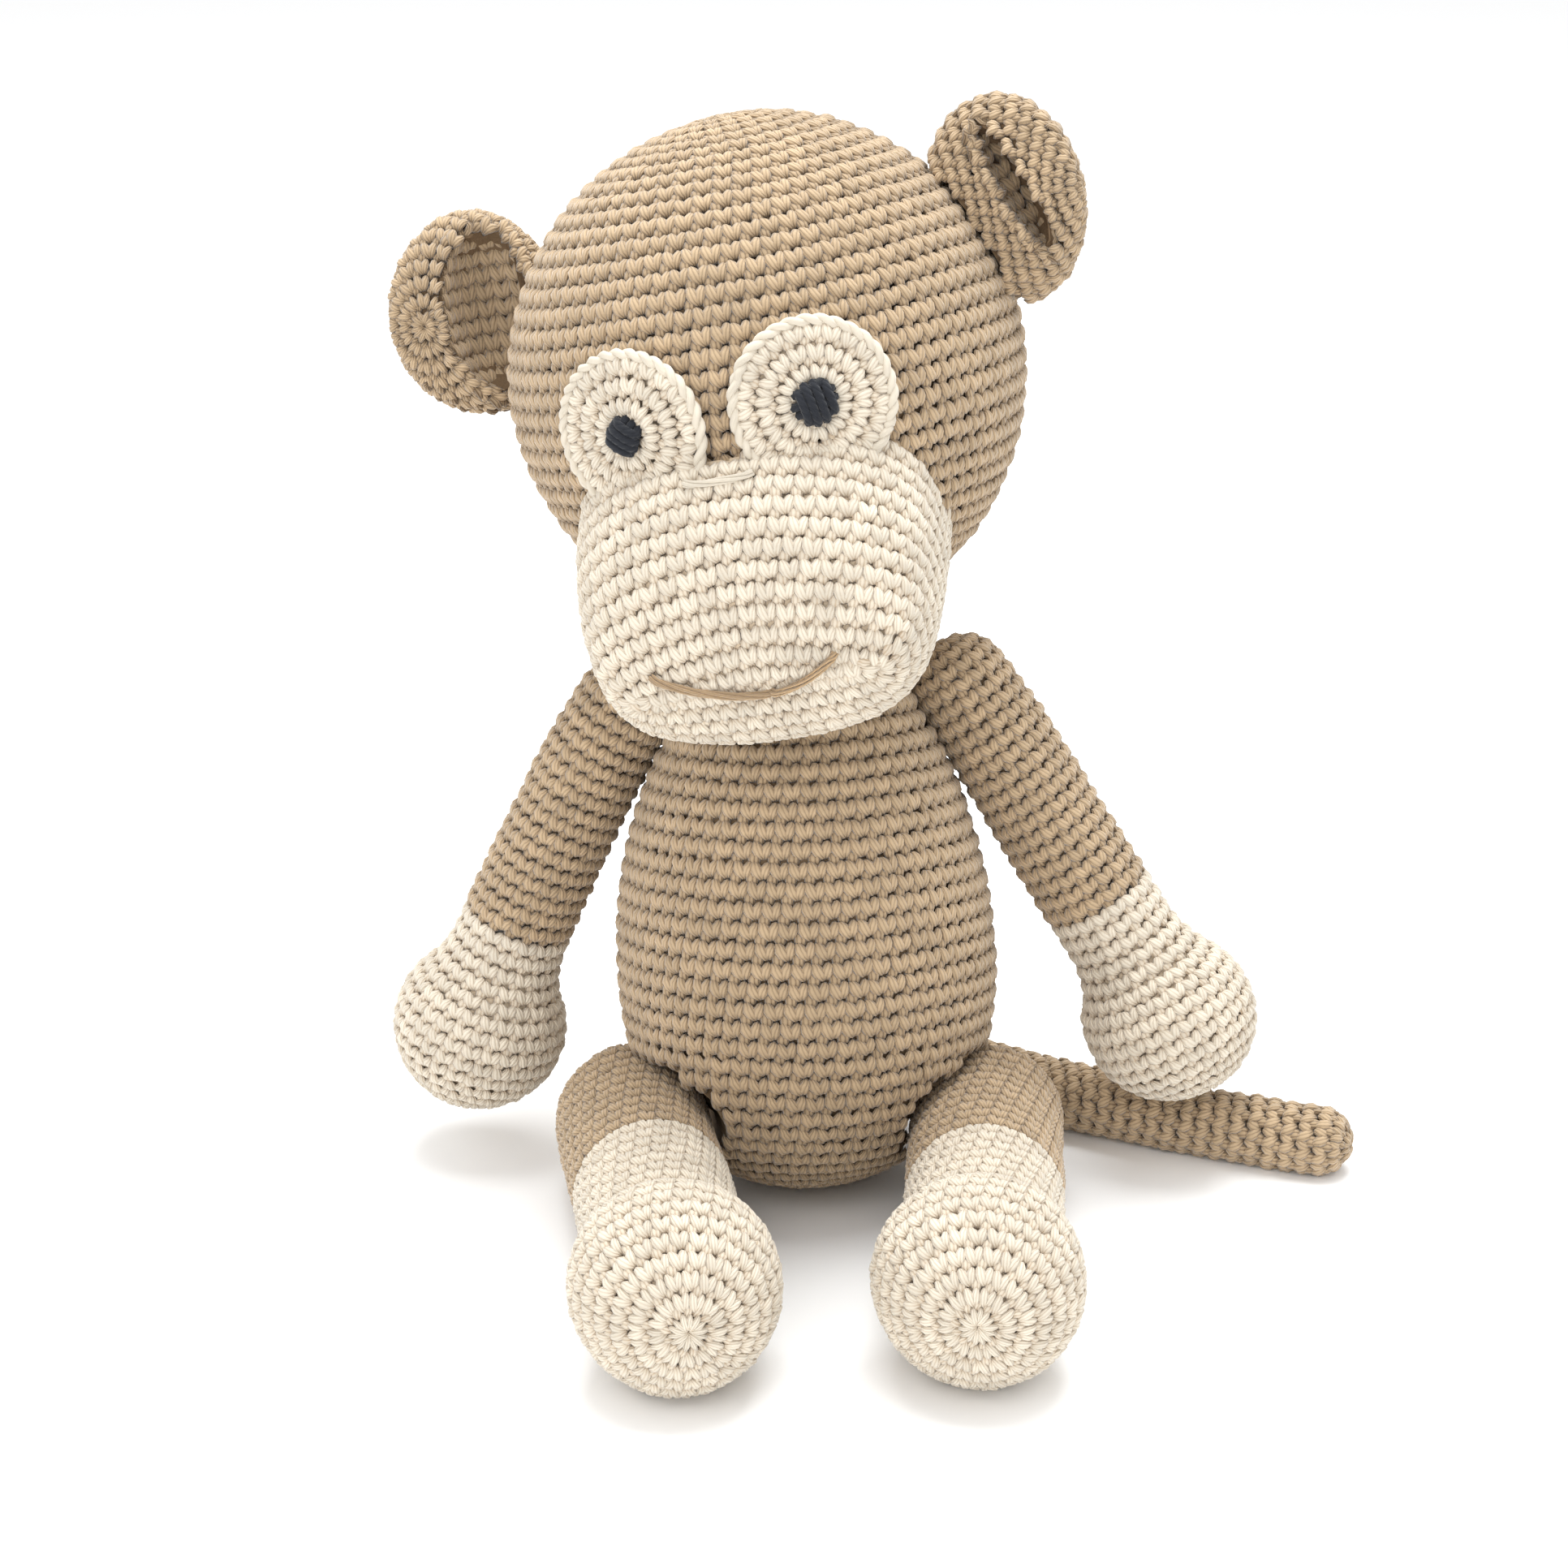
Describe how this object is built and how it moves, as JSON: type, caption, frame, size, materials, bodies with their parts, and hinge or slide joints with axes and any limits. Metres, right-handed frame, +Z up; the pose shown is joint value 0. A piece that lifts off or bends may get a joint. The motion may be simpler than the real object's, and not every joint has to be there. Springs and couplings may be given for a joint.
{
  "type": "stuffed crochet monkey toy",
  "caption": "Crocheted monkey soft toy in tan and cream cotton yarn, sitting, with jointed head, arms, legs and tail.",
  "frame": {"origin": "on the floor, in the middle of the flat under the seat", "axes": "+Z up; the toy faces -Y; its own left side is +X"},
  "size_m": [0.2383, 0.2154, 0.2638],
  "materials": {
    "tan_yarn": "matt crocheted cotton, light brown",
    "cream_yarn": "matt crocheted cotton, cream",
    "black_yarn": "matt crocheted cotton, black",
    "mouth_yarn": "matt embroidery yarn, light brown",
    "stuffing": "loose white polyester fibre"
  },
  "bodies": {
    "body": {"body_cover": "tan_yarn", "body_stuffing": "stuffing"},
    "neck": {"neck_cover": "tan_yarn", "neck_stuffing": "stuffing"},
    "head": {"head_cover": "tan_yarn", "head_stuffing": "stuffing", "muzzle_cover": "cream_yarn", "muzzle_stuffing": "stuffing", "mouth_stitch": "mouth_yarn", "nose_stitch": "cream_yarn", "eye_patch_left": "cream_yarn", "pupil_left": "black_yarn", "ear_left": "tan_yarn", "eye_patch_right": "cream_yarn", "pupil_right": "black_yarn", "ear_right": "tan_yarn"},
    "arm_left": {"arm_cover_left": "tan_yarn", "hand_cover_left": "cream_yarn", "arm_stuffing_left": "stuffing"},
    "arm_right": {"arm_cover_right": "tan_yarn", "hand_cover_right": "cream_yarn", "arm_stuffing_right": "stuffing"},
    "leg_left": {"leg_cover_left": "tan_yarn", "foot_cover_left": "cream_yarn", "leg_stuffing_left": "stuffing"},
    "leg_right": {"leg_cover_right": "tan_yarn", "foot_cover_right": "cream_yarn", "leg_stuffing_right": "stuffing"},
    "tail": {"tail_cover": "tan_yarn", "tail_stuffing": "stuffing"}
  },
  "joints": [
    {"name": "head_turn", "type": "hinge", "parent": "body", "child": "neck", "pos_m": [-0.00211, 0.01695, 0.12761], "axis": [-0.0279, 0.2249, 0.974], "range_deg": [-25, 25]},
    {"name": "head_nod", "type": "hinge", "parent": "neck", "child": "head", "pos_m": [-0.00211, 0.01695, 0.12761], "axis": [0.9996, 0.0063, 0.0272], "range_deg": [-12, 4]},
    {"name": "shoulder_left", "type": "hinge", "parent": "body", "child": "arm_left", "pos_m": [0.03745, 0.01787, 0.11939], "axis": [-1, 0, 0], "range_deg": [-40, 120]},
    {"name": "shoulder_right", "type": "hinge", "parent": "body", "child": "arm_right", "pos_m": [-0.04116, 0.01738, 0.11725], "axis": [-1, 0, 0], "range_deg": [-40, 120]},
    {"name": "hip_left", "type": "hinge", "parent": "body", "child": "leg_left", "pos_m": [0.04478, -0.01384, 0.018], "axis": [0.9971, -0.0767, 0], "range_deg": [-5, 75]},
    {"name": "hip_right", "type": "hinge", "parent": "body", "child": "leg_right", "pos_m": [-0.04276, -0.01439, 0.018], "axis": [0.9898, 0.1426, 0], "range_deg": [-5, 75]},
    {"name": "tail_swing", "type": "hinge", "parent": "body", "child": "tail", "pos_m": [0.01013, 0.03569, 0.0148], "axis": [0, 0, 1], "range_deg": [-12, 50]}
  ]
}
